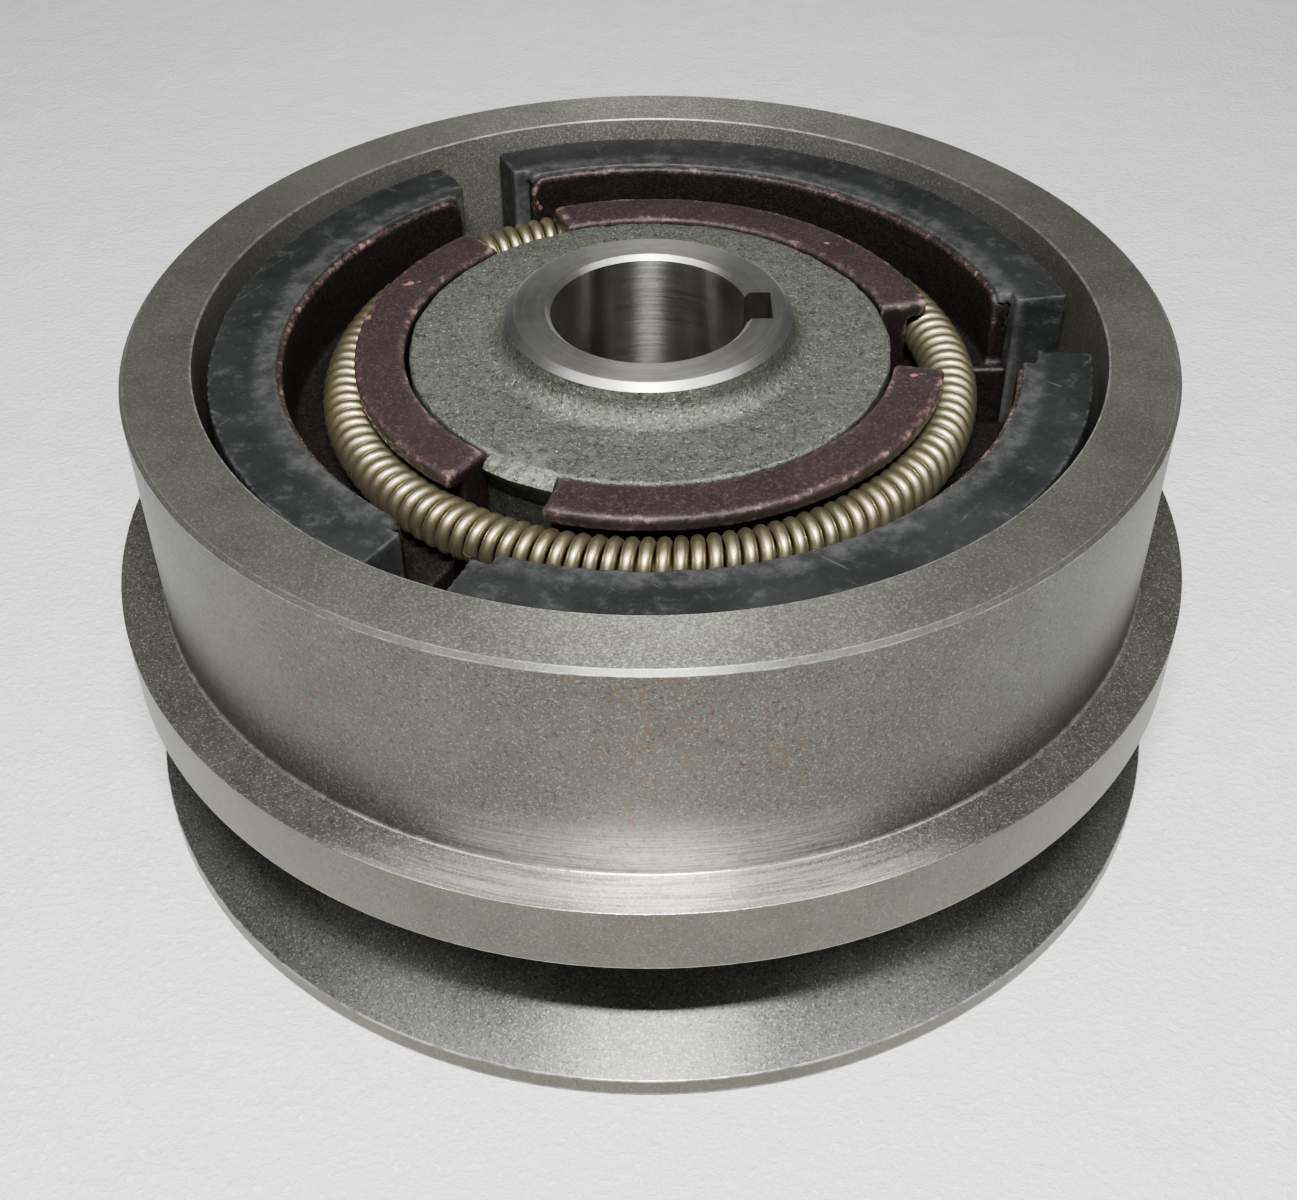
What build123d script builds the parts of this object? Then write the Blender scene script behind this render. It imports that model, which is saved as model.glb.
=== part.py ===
from build123d import *
import os
from math import degrees, radians, sin, tan

os.makedirs("parts", exist_ok=True)

# Centrifugal clutch whose drum is cast in one piece with a V-belt pulley.
# Millimetres and degrees. Z runs along the shaft, 0 at the pulley's lower face and up to the
# open side of the drum. +X points through the keyway.

# Driving dimensions.
SHAFT_R = 10.0  # 20 mm engine shaft
DRUM_R = 52.5
PULLEY_R = 57.0
RIM_Z = 51.2  # top of the drum's rim

# Shaft bore and keyway.
KEY_WIDTH = 5.0
KEY_REACH = 12.3  # bottom of the keyway from the axis

# Drum and pulley casting.
RIM_WIDTH = 6.95
DRUM_BORE_R = DRUM_R - RIM_WIDTH
DRUM_FLOOR_Z = 26.5
FLANGE_TOP_Z = 27.2
GROOVE_TOP_Z = 19.7
GROOVE_BOTTOM_Z = 2.4
GROOVE_DEPTH = 14.5
GROOVE_FLANK = 18.0  # half of the belt groove's included angle
EDGE_BREAK = 0.5
DRUM_FOOT_FILLET = 0.6
DRUM_FLOOR_FILLET = 1.5
GROOVE_FILLET = 1.0
RELIEF_INNER_R = 28.0  # shallow turned relief in the lower face
RELIEF_OUTER_R = 38.0
RELIEF_DEPTH = 1.2

# Bearings: two thin-section 30 x 47 x 9 with a spacer between.
SLEEVE_R = 15.0
HOUSING_R = 23.5
BEARING_WIDTH = 9.0
BALL_R = 2.38
BALL_COUNT = 13
RACE_CLEARANCE = 0.12
RING_SHOULDER = 0.9  # depth of the race groove below the ring's land
PITCH_R = (SLEEVE_R + HOUSING_R) / 2
RACE_R = BALL_R + RACE_CLEARANCE
INNER_LAND_R = PITCH_R - RACE_R + RING_SHOULDER
OUTER_LAND_R = PITCH_R + RACE_R - RING_SHOULDER
SEAL_THICKNESS = 0.8
SEAL_INSET = 0.2
SEAL_CLEARANCE = 0.2
CAGE_WALL = 1.8
CAGE_HEIGHT = 6.2
SPACER_WIDTH = 2.0
LOWER_BEARING_Z = 4.5
SPACER_Z = LOWER_BEARING_Z + BEARING_WIDTH
UPPER_BEARING_Z = SPACER_Z + SPACER_WIDTH
HOUSING_SHOULDER_Z = UPPER_BEARING_Z + BEARING_WIDTH
HOUSING_SHOULDER_R = 21.5

# Circlips, below the lower bearing.
INTERNAL_CLIP_THICKNESS = 1.75
INTERNAL_CLIP_R = 24.75  # bottom of the groove
INTERNAL_CLIP_EDGE_R = 22.0  # free edge
INTERNAL_LUG_PITCH_R = 22.6
INTERNAL_LUG_R = 2.2
EXTERNAL_CLIP_THICKNESS = 1.5
EXTERNAL_CLIP_R = 14.3
EXTERNAL_CLIP_EDGE_R = 16.8
EXTERNAL_LUG_PITCH_R = 16.4
EXTERNAL_LUG_R = 2.1
CLIP_PLAY = 0.1
CLIP_HOLE_R = 1.0
LUG_SPREAD = 1.15  # from the gap's middle to a lug, in lug radii
CLIP_GAP = 1.2  # width of the gap between the lugs, in lug radii

# Hub.
HUB_BOTTOM_Z = 1.0
WASHER_THICKNESS = 1.5
WASHER_R = 17.5
HUB_SHOULDER_Z = HOUSING_SHOULDER_Z + WASHER_THICKNESS
HUB_SHOULDER_R = 18.0
GUIDE_R = 33.0  # guide flange that the shoes slide on
GUIDE_BOTTOM_Z = 27.0
GUIDE_TOP_Z = 28.3
HUB_DISC_R = 24.5
HUB_DISC_Z = 48.6
DISC_EDGE_FILLET = 0.8
BOSS_R = 14.45
BOSS_ROOT_R = 14.95  # the cast side has draft
BOSS_TOP_Z = 52.5
BOSS_CHAMFER = 0.7
BOSS_FILLET = 2.2
ARM_TIP_R = 38.2
ARM_HALF_WIDTH = 2.0
ARM_TOP_Z = 36.0
ARM_CORNER_FILLET = 1.0
ARM_ANGLES = (0.0, 120.0, 240.0)
GATE_ANGLE = 241.0  # stub of the casting's gate on the hub disc's edge
GATE_SPAN = 17.0
GATE_R = 25.8
GATE_DEPTH = 4.0
GATE_DROP = 0.6  # below the disc's upper face
GATE_ROOT = 2.0  # how far the stub reaches into the disc

# Shoes. Each slides outwards along its own middle line.
SLIDE_CLEARANCE = 0.3
SHOE_BOTTOM_Z = GUIDE_TOP_Z + SLIDE_CLEARANCE
SHOE_INNER_R = 24.95
SHOE_OUTER_R = 39.0
CHANNEL_FLOOR_Z = 40.7
RIB_STEM_R = 28.0
RIB_LIP_R = 30.0
RIB_TOP_Z = 48.85
LIP_BOTTOM_Z = 47.2
LIP_DRAFT = 0.3  # rise of the lip's underside
LIP_FILLET = 0.35
CASTING_OVERLAP = 1.0  # rib and wall reach this far into the body
WALL_INNER_R = 37.1
WALL_TOP_Z = 49.05
WALL_SETBACK = 2.3  # degrees from the lining's end back to the wall's end
TONGUE_BOTTOM_Z = 31.3
TONGUE_TOP_Z = 34.2
TONGUE_R = 22.9
LINING_OUTER_R = 44.4
LINING_TOP_Z = 49.2

# Start and end angle of each shoe's lining and rib. The linings are cut by hand, so they differ.
LINING_ENDS = ((9.0, 113.9), (123.5, 235.8), (246.5, 354.8))
RIB_ENDS = ((13.0, 111.3), (132.0, 231.7), (250.7, 348.5))

# Garter spring, as the closed tube that its coils fill.
SPRING_R = 30.9
SPRING_Z = 44.1
COIL_R = 2.73
WIRE = 1.4


def turned(points, rounds=(), start=0.0, sweep=360.0):
    """Revolve a closed r-z outline about Z; rounds pairs an outline point with its radius."""
    outline = make_face(Polyline(*points, close=True))
    for point, radius in rounds:
        corner = outline.vertices().sort_by_distance((*point, 0))[0]
        outline = fillet(corner, radius)
    solid = revolve(Plane.XZ * outline, Axis.Z, revolution_arc=sweep)
    return Rot(0, 0, start) * solid


def ring(inner_r, outer_r, bottom_z, top_z, start=0.0, sweep=360.0):
    """Plain ring, or a sector of one."""
    corners = [(inner_r, bottom_z), (outer_r, bottom_z), (outer_r, top_z), (inner_r, top_z)]
    return turned(corners, start=start, sweep=sweep)


def make_drum_pulley():
    """Drum, pulley and bearing housing, one casting turned all over."""
    root_r = PULLEY_R - GROOVE_DEPTH
    flank_rise = GROOVE_DEPTH * tan(radians(GROOVE_FLANK))
    clip_bottom_z = LOWER_BEARING_Z - INTERNAL_CLIP_THICKNESS - CLIP_PLAY
    drum_foot = (DRUM_R, FLANGE_TOP_Z)
    floor_corner = (DRUM_BORE_R, DRUM_FLOOR_Z)
    root_low = (root_r, GROOVE_BOTTOM_Z + flank_rise)
    root_high = (root_r, GROOVE_TOP_Z - flank_rise)
    outline = [
        (HOUSING_R + EDGE_BREAK, 0),
        (RELIEF_INNER_R, 0),
        (RELIEF_INNER_R + RELIEF_DEPTH, RELIEF_DEPTH),
        (RELIEF_OUTER_R - RELIEF_DEPTH, RELIEF_DEPTH),
        (RELIEF_OUTER_R, 0),
        (PULLEY_R - EDGE_BREAK, 0),
        (PULLEY_R, EDGE_BREAK),
        (PULLEY_R, GROOVE_BOTTOM_Z),
        root_low,
        root_high,
        (PULLEY_R, GROOVE_TOP_Z),
        (PULLEY_R, FLANGE_TOP_Z - EDGE_BREAK),
        (PULLEY_R - EDGE_BREAK, FLANGE_TOP_Z),
        drum_foot,
        (DRUM_R, RIM_Z - EDGE_BREAK),
        (DRUM_R - EDGE_BREAK, RIM_Z),
        (DRUM_BORE_R + EDGE_BREAK, RIM_Z),
        (DRUM_BORE_R, RIM_Z - EDGE_BREAK),
        floor_corner,
        (HOUSING_SHOULDER_R, DRUM_FLOOR_Z),
        (HOUSING_SHOULDER_R, HOUSING_SHOULDER_Z),
        (HOUSING_R, HOUSING_SHOULDER_Z),
        (HOUSING_R, LOWER_BEARING_Z),
        (INTERNAL_CLIP_R, LOWER_BEARING_Z),
        (INTERNAL_CLIP_R, clip_bottom_z),
        (HOUSING_R, clip_bottom_z),
        (HOUSING_R, EDGE_BREAK),
    ]
    rounds = [
        (drum_foot, DRUM_FOOT_FILLET),
        (floor_corner, DRUM_FLOOR_FILLET),
        (root_low, GROOVE_FILLET),
        (root_high, GROOVE_FILLET),
    ]
    return turned(outline, rounds)


def make_bearing_ring(land_r, seat_r, bottom_z):
    """Inner or outer ring with its ball race."""
    blank = ring(min(land_r, seat_r), max(land_r, seat_r), bottom_z, bottom_z + BEARING_WIDTH)
    race = Pos(0, 0, bottom_z + BEARING_WIDTH / 2) * Torus(PITCH_R, RACE_R)
    return blank - race


def make_balls(bottom_z):
    """Every ball of one bearing, as separate solids."""
    places = PolarLocations(PITCH_R, BALL_COUNT)
    balls = [place * Sphere(BALL_R) for place in places]
    return Pos(0, 0, bottom_z + BEARING_WIDTH / 2) * Compound(children=balls)


def make_cage(bottom_z):
    """Ring cage with one round pocket for each ball."""
    middle_z = bottom_z + BEARING_WIDTH / 2
    low_z = middle_z - CAGE_HEIGHT / 2
    cage = ring(PITCH_R - CAGE_WALL / 2, PITCH_R + CAGE_WALL / 2, low_z, low_z + CAGE_HEIGHT)
    pocket = Rot(0, 90, 0) * Cylinder(RACE_R, 3 * CAGE_WALL)
    for place in PolarLocations(PITCH_R, BALL_COUNT):
        cage -= Pos(0, 0, middle_z) * place * pocket
    return cage


def make_seal(bottom_z):
    """Flat seal disc, held by the outer ring and clear of the inner one."""
    return ring(INNER_LAND_R + SEAL_CLEARANCE, OUTER_LAND_R, bottom_z, bottom_z + SEAL_THICKNESS)


def make_bearing(name, bottom_z):
    """All the pieces of one sealed ball bearing, by node name."""
    top_z = bottom_z + BEARING_WIDTH
    return {
        f"{name}_bearing_outer_ring": make_bearing_ring(OUTER_LAND_R, HOUSING_R, bottom_z),
        f"{name}_bearing_inner_ring": make_bearing_ring(INNER_LAND_R, SLEEVE_R, bottom_z),
        f"{name}_bearing_balls": make_balls(bottom_z),
        f"{name}_bearing_cage": make_cage(bottom_z),
        f"{name}_bearing_bottom_seal": make_seal(bottom_z + SEAL_INSET),
        f"{name}_bearing_top_seal": make_seal(top_z - SEAL_INSET - SEAL_THICKNESS),
    }


def make_circlip(seat_r, edge_r, lug_pitch_r, lug_r, thickness, gap_angle):
    """Open spring ring with two eared lugs beside its gap, in the plane of Z = 0."""
    low_r = min(seat_r, edge_r)
    high_r = max(seat_r, edge_r)
    clip = Circle(high_r) - Circle(low_r)
    gap = Rectangle(4 * lug_r, CLIP_GAP * lug_r)
    clip -= Rot(0, 0, gap_angle) * Pos(lug_pitch_r, 0) * gap
    lug_turn = LUG_SPREAD * degrees(lug_r / lug_pitch_r)
    lugs = [Rot(0, 0, gap_angle + side * lug_turn) * Pos(lug_pitch_r, 0) for side in (-1, 1)]
    for lug in lugs:
        clip += lug * Circle(lug_r)
    clip = clip & (Circle(seat_r) if seat_r > edge_r else Circle(2 * edge_r) - Circle(seat_r))
    for lug in lugs:
        clip -= lug * Circle(CLIP_HOLE_R)
    return extrude(clip, thickness)


def make_internal_circlip():
    """Circlip in the housing's groove, under the lower outer ring."""
    clip = make_circlip(
        INTERNAL_CLIP_R,
        INTERNAL_CLIP_EDGE_R,
        INTERNAL_LUG_PITCH_R,
        INTERNAL_LUG_R,
        INTERNAL_CLIP_THICKNESS,
        gap_angle=90,
    )
    return Pos(0, 0, LOWER_BEARING_Z - INTERNAL_CLIP_THICKNESS) * clip


def make_external_circlip():
    """Circlip in the sleeve's groove, under the lower inner ring."""
    clip = make_circlip(
        EXTERNAL_CLIP_R,
        EXTERNAL_CLIP_EDGE_R,
        EXTERNAL_LUG_PITCH_R,
        EXTERNAL_LUG_R,
        EXTERNAL_CLIP_THICKNESS,
        gap_angle=270,
    )
    return Pos(0, 0, LOWER_BEARING_Z - EXTERNAL_CLIP_THICKNESS) * clip


def make_hub():
    """Keyed hub: sleeve for the bearings, guide flange, driving arms, disc and boss."""
    clip_bottom_z = LOWER_BEARING_Z - EXTERNAL_CLIP_THICKNESS - CLIP_PLAY
    boss_foot = (BOSS_ROOT_R, HUB_DISC_Z)
    disc_edge = (HUB_DISC_R, HUB_DISC_Z)
    outline = [
        (SHAFT_R + EDGE_BREAK, HUB_BOTTOM_Z),
        (SLEEVE_R - EDGE_BREAK, HUB_BOTTOM_Z),
        (SLEEVE_R, HUB_BOTTOM_Z + EDGE_BREAK),
        (SLEEVE_R, clip_bottom_z),
        (EXTERNAL_CLIP_R, clip_bottom_z),
        (EXTERNAL_CLIP_R, LOWER_BEARING_Z),
        (SLEEVE_R, LOWER_BEARING_Z),
        (SLEEVE_R, HUB_SHOULDER_Z),
        (HUB_SHOULDER_R, HUB_SHOULDER_Z),
        (HUB_SHOULDER_R, GUIDE_BOTTOM_Z),
        (GUIDE_R, GUIDE_BOTTOM_Z),
        (GUIDE_R, GUIDE_TOP_Z),
        (HUB_DISC_R, GUIDE_TOP_Z),
        (HUB_DISC_R, TONGUE_BOTTOM_Z - SLIDE_CLEARANCE),
        (TONGUE_R - 2 * SLIDE_CLEARANCE, TONGUE_BOTTOM_Z - SLIDE_CLEARANCE),
        (TONGUE_R - 2 * SLIDE_CLEARANCE, TONGUE_TOP_Z + SLIDE_CLEARANCE),
        (HUB_DISC_R, TONGUE_TOP_Z + SLIDE_CLEARANCE),
        disc_edge,
        boss_foot,
        (BOSS_R, BOSS_TOP_Z - BOSS_CHAMFER),
        (BOSS_R - BOSS_CHAMFER, BOSS_TOP_Z),
        (SHAFT_R + EDGE_BREAK, BOSS_TOP_Z),
        (SHAFT_R, BOSS_TOP_Z - EDGE_BREAK),
        (SHAFT_R, HUB_BOTTOM_Z + EDGE_BREAK),
    ]
    hub = turned(outline, [(boss_foot, BOSS_FILLET), (disc_edge, DISC_EDGE_FILLET)])
    arm = Box(
        ARM_TIP_R - HUB_SHOULDER_R,
        2 * ARM_HALF_WIDTH,
        ARM_TOP_Z - GUIDE_BOTTOM_Z,
        align=(Align.MIN, Align.CENTER, Align.MIN),
    )
    arm = fillet(arm.edges().filter_by(Axis.Z).group_by(Axis.X)[-1], ARM_CORNER_FILLET)
    for angle in ARM_ANGLES:
        hub += Rot(0, 0, angle) * Pos(HUB_SHOULDER_R, 0, GUIDE_BOTTOM_Z) * arm
    hub += ring(
        HUB_DISC_R - GATE_ROOT,
        GATE_R,
        HUB_DISC_Z - GATE_DEPTH,
        HUB_DISC_Z - GATE_DROP,
        start=GATE_ANGLE - GATE_SPAN / 2,
        sweep=GATE_SPAN,
    )
    keyway = Box(KEY_REACH, KEY_WIDTH, 2 * BOSS_TOP_Z, align=(Align.MIN, Align.CENTER, Align.CENTER))
    return hub - keyway


def end_gap(angle):
    """Distance from the nearest driving arm's middle plane to a shoe end at that angle."""
    turns = [abs((angle - arm + 180) % 360 - 180) for arm in ARM_ANGLES]
    return SHOE_OUTER_R * sin(radians(min(turns)))


def make_shoe_core(lining_ends, rib_ends):
    """Cast shoe: body with a guide tongue, inner rib with a lip over the spring, outer wall."""
    start, end = lining_ends
    start_arm = min(ARM_ANGLES, key=lambda arm: abs(start - arm))
    root_z = CHANNEL_FLOOR_Z - CASTING_OVERLAP
    body = turned(
        [
            (SHOE_INNER_R, SHOE_BOTTOM_Z),
            (SHOE_OUTER_R, SHOE_BOTTOM_Z),
            (SHOE_OUTER_R, CHANNEL_FLOOR_Z),
            (SHOE_INNER_R, CHANNEL_FLOOR_Z),
            (SHOE_INNER_R, TONGUE_TOP_Z),
            (TONGUE_R, TONGUE_TOP_Z),
            (TONGUE_R, TONGUE_BOTTOM_Z),
            (SHOE_INNER_R, TONGUE_BOTTOM_Z),
        ],
        start=start_arm,
        sweep=120.0,
    )
    slot = Box(2 * DRUM_R, 2 * DRUM_R, 2 * DRUM_R, align=(Align.MIN, Align.MAX, Align.CENTER))
    body -= Rot(0, 0, start_arm) * Pos(0, end_gap(start), 0) * slot
    body -= Rot(0, 0, start_arm + 120) * Pos(0, 2 * DRUM_R - end_gap(end), 0) * slot
    rib = turned(
        [
            (SHOE_INNER_R, root_z),
            (RIB_STEM_R, root_z),
            (RIB_STEM_R, LIP_BOTTOM_Z - LIP_DRAFT),
            (RIB_LIP_R, LIP_BOTTOM_Z),
            (RIB_LIP_R, RIB_TOP_Z),
            (SHOE_INNER_R, RIB_TOP_Z),
        ],
        rounds=[((RIB_LIP_R, RIB_TOP_Z), LIP_FILLET), ((SHOE_INNER_R, RIB_TOP_Z), LIP_FILLET)],
        start=rib_ends[0],
        sweep=rib_ends[1] - rib_ends[0],
    )
    wall = ring(
        WALL_INNER_R,
        SHOE_OUTER_R,
        root_z,
        WALL_TOP_Z,
        start=start + WALL_SETBACK,
        sweep=end - start - 2 * WALL_SETBACK,
    )
    return body + rib + wall


def make_lining(ends):
    """Friction lining bonded on the outside of a shoe."""
    return ring(SHOE_OUTER_R, LINING_OUTER_R, SHOE_BOTTOM_Z, LINING_TOP_Z, ends[0], ends[1] - ends[0])


def make_garter_spring():
    """Closed tube that the spring's coils fill, hollow as the coils are."""
    tube = Torus(SPRING_R, COIL_R) - Torus(SPRING_R, COIL_R - WIRE)
    return Pos(0, 0, SPRING_Z) * tube


nodes = {
    "drum_pulley": make_drum_pulley(),
    "hub": make_hub(),
    "garter_spring": make_garter_spring(),
    "outer_spacer": ring(HOUSING_SHOULDER_R, HOUSING_R, SPACER_Z, UPPER_BEARING_Z),
    "inner_spacer": ring(SLEEVE_R, WASHER_R, SPACER_Z, UPPER_BEARING_Z),
    "thrust_washer": ring(SLEEVE_R, WASHER_R, HOUSING_SHOULDER_Z, HUB_SHOULDER_Z),
    "internal_circlip": make_internal_circlip(),
    "external_circlip": make_external_circlip(),
}
nodes.update(make_bearing("lower", LOWER_BEARING_Z))
nodes.update(make_bearing("upper", UPPER_BEARING_Z))
for number, (lining_ends, rib_ends) in enumerate(zip(LINING_ENDS, RIB_ENDS), start=1):
    nodes[f"shoe_core_{number}"] = make_shoe_core(lining_ends, rib_ends)
    nodes[f"lining_{number}"] = make_lining(lining_ends)

for name, solid in nodes.items():
    export_step(solid, f"parts/{name}.step")
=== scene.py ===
from math import asin, cos, degrees, pi, radians, sin, tan

import bmesh
import bpy
import numpy as np
from bpy.props import FloatProperty, FloatVectorProperty, IntProperty, PointerProperty
from mathutils import Matrix, Vector


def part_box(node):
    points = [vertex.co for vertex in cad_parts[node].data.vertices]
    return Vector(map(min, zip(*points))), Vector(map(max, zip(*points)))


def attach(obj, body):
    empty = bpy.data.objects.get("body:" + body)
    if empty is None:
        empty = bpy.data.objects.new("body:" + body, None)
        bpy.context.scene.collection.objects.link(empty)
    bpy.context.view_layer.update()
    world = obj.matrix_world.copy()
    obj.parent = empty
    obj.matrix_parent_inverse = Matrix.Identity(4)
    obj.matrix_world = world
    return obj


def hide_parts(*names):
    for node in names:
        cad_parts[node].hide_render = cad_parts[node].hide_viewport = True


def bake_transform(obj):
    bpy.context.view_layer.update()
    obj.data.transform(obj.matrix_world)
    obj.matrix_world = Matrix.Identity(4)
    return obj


bl_info = {
    "name": "Centrifugal clutch",
    "version": (1, 0, 0),
    "blender": (4, 5, 0),
    "location": "3D View > Sidebar > Clutch",
    "description": "Builds the finished pieces of a centrifugal clutch around its packed frame",
    "category": "Object",
}

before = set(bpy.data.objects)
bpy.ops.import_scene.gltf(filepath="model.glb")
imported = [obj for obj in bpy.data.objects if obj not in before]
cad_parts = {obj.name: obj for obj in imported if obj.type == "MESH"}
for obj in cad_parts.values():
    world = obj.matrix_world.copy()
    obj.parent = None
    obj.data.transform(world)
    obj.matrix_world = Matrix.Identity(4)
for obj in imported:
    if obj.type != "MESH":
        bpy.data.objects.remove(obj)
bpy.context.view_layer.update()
MM = 0.001  # metres in a millimetre
PITCH = 120.0  # degrees from one shoe to the next
SHOES = (1, 2, 3)
SHOE_MIDDLES = (60.0, 180.0, 300.0)  # each shoe slides out along its own middle line
GAP_ANGLES = (0.0, 120.0, 240.0)  # where the driving arms stand between the shoes

# Where each lining and each inner rib starts and ends round the axis, in degrees.
LINING_ENDS = ((9.0, 113.9), (123.5, 235.8), (246.5, 354.8))
RIB_ENDS = ((13.0, 111.3), (132.0, 231.7), (250.7, 348.5))

EDGE_HOLD = 0.05 * MM  # narrow flat beside each rounding, so that its shading stays on it
CLIP_PLAY = 0.1 * MM  # room under a circlip in its groove
CLIP_SINK = 0.7 * MM  # depth of the sleeve's circlip groove
CAST_CELL = 0.3 * MM  # cells of the shoes' and linings' meshes
CAST_STEP = 0.42 * MM  # longest stretch of the hub's cast outline
WEAR_ROUNDS = 12  # rounds of smoothing before a surface is compared with itself
WORN_HEIGHTS = (0.05 * MM, 0.16 * MM)  # an edge this far over its smoothed shape starts and ends to wear
PAINTED_HIGHLIGHT_FRONT = (-47 * MM, -55.5 * MM)  # along Y, where the painted highlight on the drum's low front starts and is strongest
PAINTED_HIGHLIGHT_LOW = (35 * MM, 28 * MM)  # the same along Z
SPRING_LENGTHS = 2 * len(SHOES)  # one from each shoe's middle to the gap on each side of it
POINTS_PER_COIL = 20
WIRE_SIDES = 10
NEAR = 5 * MM  # the camera draws nothing nearer


def low(node):
    """Lowest corner of a node of the frame."""
    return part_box(node)[0]


def high(node):
    """Highest corner of a node of the frame."""
    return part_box(node)[1]


# Sizes and colours that a user may change.


def length(label, text, size):
    """A length with its default in millimetres."""
    return FloatProperty(name=label, description=text, default=size * MM, unit="LENGTH", precision=5)


def angle(label, text, turn):
    """An angle with its default in degrees."""
    return FloatProperty(name=label, description=text, default=radians(turn), subtype="ANGLE")


def power(label, text, watts):
    """A lamp's power with its default in watts."""
    return FloatProperty(name=label, description=text, default=watts, unit="POWER")


def colour(label, text, red, green, blue):
    """A linear colour."""
    return FloatVectorProperty(
        name=label, description=text, default=(red, green, blue), subtype="COLOR", min=0, max=1
    )


class DrumSizes(bpy.types.PropertyGroup):
    """Casting that is drum, pulley and bearing housing in one."""

    drum_r: length("Drum radius", "Outside of the drum's wall", 52.5)
    bore_r: length("Drum bore", "Inside of the drum's wall", 45.55)
    pulley_r: length("Pulley radius", "Outside of both flanges", high("drum_pulley").x / MM)
    rim_z: length("Rim height", "Top of the drum's rim", high("drum_pulley").z / MM)
    rim_chamfer: length("Rim chamfer", "Broken outer edge of the rim", 0.45)
    floor_z: length("Floor height", "Floor inside the drum", 26.5)
    flange_z: length("Flange height", "Top of the upper flange", 27.2)
    groove_top: length("Groove top", "Upper edge of the belt groove", 19.7)
    groove_bottom: length("Groove bottom", "Lower edge of the belt groove", 2.4)
    groove_depth: length("Groove depth", "Depth of the belt groove", 14.5)
    flank: angle("Flank", "Half of the groove's angle", 18)
    relief_inner: length("Relief inside", "Inner radius of the lower relief", 28)
    relief_outer: length("Relief outside", "Outer radius of the lower relief", 38)
    relief_depth: length("Relief depth", "Depth of the lower relief", 1.2)
    housing_r: length("Housing radius", "Bore for the bearings", high("upper_bearing_outer_ring").x / MM)
    shoulder_r: length("Shoulder radius", "Shoulder over the upper bearing", 21.5)
    shoulder_z: length("Shoulder height", "Top of the bearings", high("upper_bearing_outer_ring").z / MM)
    clip_r: length("Clip groove", "Radius of the circlip's groove", high("internal_circlip").x / MM)


class HubSizes(bpy.types.PropertyGroup):
    """Keyed hub with its sleeve, guide flange, arms, cast disc and boss."""

    bore_r: length("Bore radius", "Bore for the shaft", 10)
    key_width: length("Key width", "Width of the keyway", 5)
    key_reach: length("Key reach", "Bottom of the keyway from the axis", 12.3)
    sleeve_r: length("Sleeve radius", "Seat of the bearings", 15)
    neck_r: length("Neck radius", "Between the washer and the guide flange", 18)
    bottom_z: length("Bottom", "Lower end of the sleeve", low("hub").z / MM)
    top_z: length("Top", "Upper face of the boss", high("hub").z / MM)
    boss_r: length("Boss radius", "Outside of the boss at its top", 14.45)
    boss_root_r: length("Boss root", "Outside of the boss at its foot", 14.95)
    boss_fillet: length("Boss fillet", "Cast fillet round the boss", 2.2)
    boss_chamfer: length("Boss chamfer", "Turned outer chamfer of the boss", 0.7)
    bore_chamfer: length("Bore chamfer", "Chamfer at both ends of the bore", 0.5)
    disc_r: length("Disc radius", "Outside of the cast disc", 24.5)
    disc_z: length("Disc height", "Upper face of the cast disc", 48.6)
    shoulder_z: length("Shoulder height", "Seat of the thrust washer", high("thrust_washer").z / MM)
    guide_r: length("Guide radius", "Flange under the shoes", 33)
    guide_bottom: length("Guide bottom", "Lower face of that flange", 27)
    guide_top: length("Guide top", "Upper face of that flange", 28.3)
    arm_tip: length("Arm tip", "Outer end of the driving arms", 38.2)
    arm_half: length("Arm half width", "Half the arms' width", 2)
    arm_top: length("Arm top", "Upper face of the arms", 36)
    gate_r: length("Gate radius", "Outer end of the stub where the iron was poured", 25.8)
    gate_z: length("Gate height", "Underside of that stub", 44.6)
    gate_turn: angle("Gate angle", "Where that stub stands", 241)
    gate_sweep: angle("Gate width", "How far round it reaches", 17)


class ShoeSizes(bpy.types.PropertyGroup):
    """Cast shoe and the lining bonded on it."""

    inner_r: length("Inner radius", "Inside of the rib", 24.95)
    stem_r: length("Stem radius", "Outside of the rib under its lip", 28)
    lip_r: length("Lip radius", "Outside of the rib's lip", 30)
    rib_z: length("Rib height", "Top of the rib", 48.85)
    lip_z: length("Lip height", "Underside of the rib's lip", 47.2)
    floor_z: length("Channel floor", "Floor between rib and wall", 40.7)
    bottom_z: length("Bottom", "Underside of shoe and lining", low("lining_1").z / MM)
    wall_r: length("Wall radius", "Inside of the outer wall", 37.1)
    outer_r: length("Core radius", "Outside of the core", 39)
    wall_z: length("Wall height", "Top of the outer wall", 49.05)
    setback: angle("Wall setback", "From lining end to wall end", 2.3)
    lining_r: length("Lining radius", "Outside of the lining", 44.4)
    lining_z: length("Lining height", "Top of the lining", high("lining_1").z / MM)


class SpringSizes(bpy.types.PropertyGroup):
    """Garter spring that holds the shoes in."""

    ring_r: length("Ring radius", "From the axis to the coils' middle", 30.9)
    ring_z: length("Ring height", "Height of the coils' middle", 44.1)
    wire: length("Wire", "Thickness of the wire", 1.36)
    turns: IntProperty(name="Turns", description="Coils in the whole ring", default=126)


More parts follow.
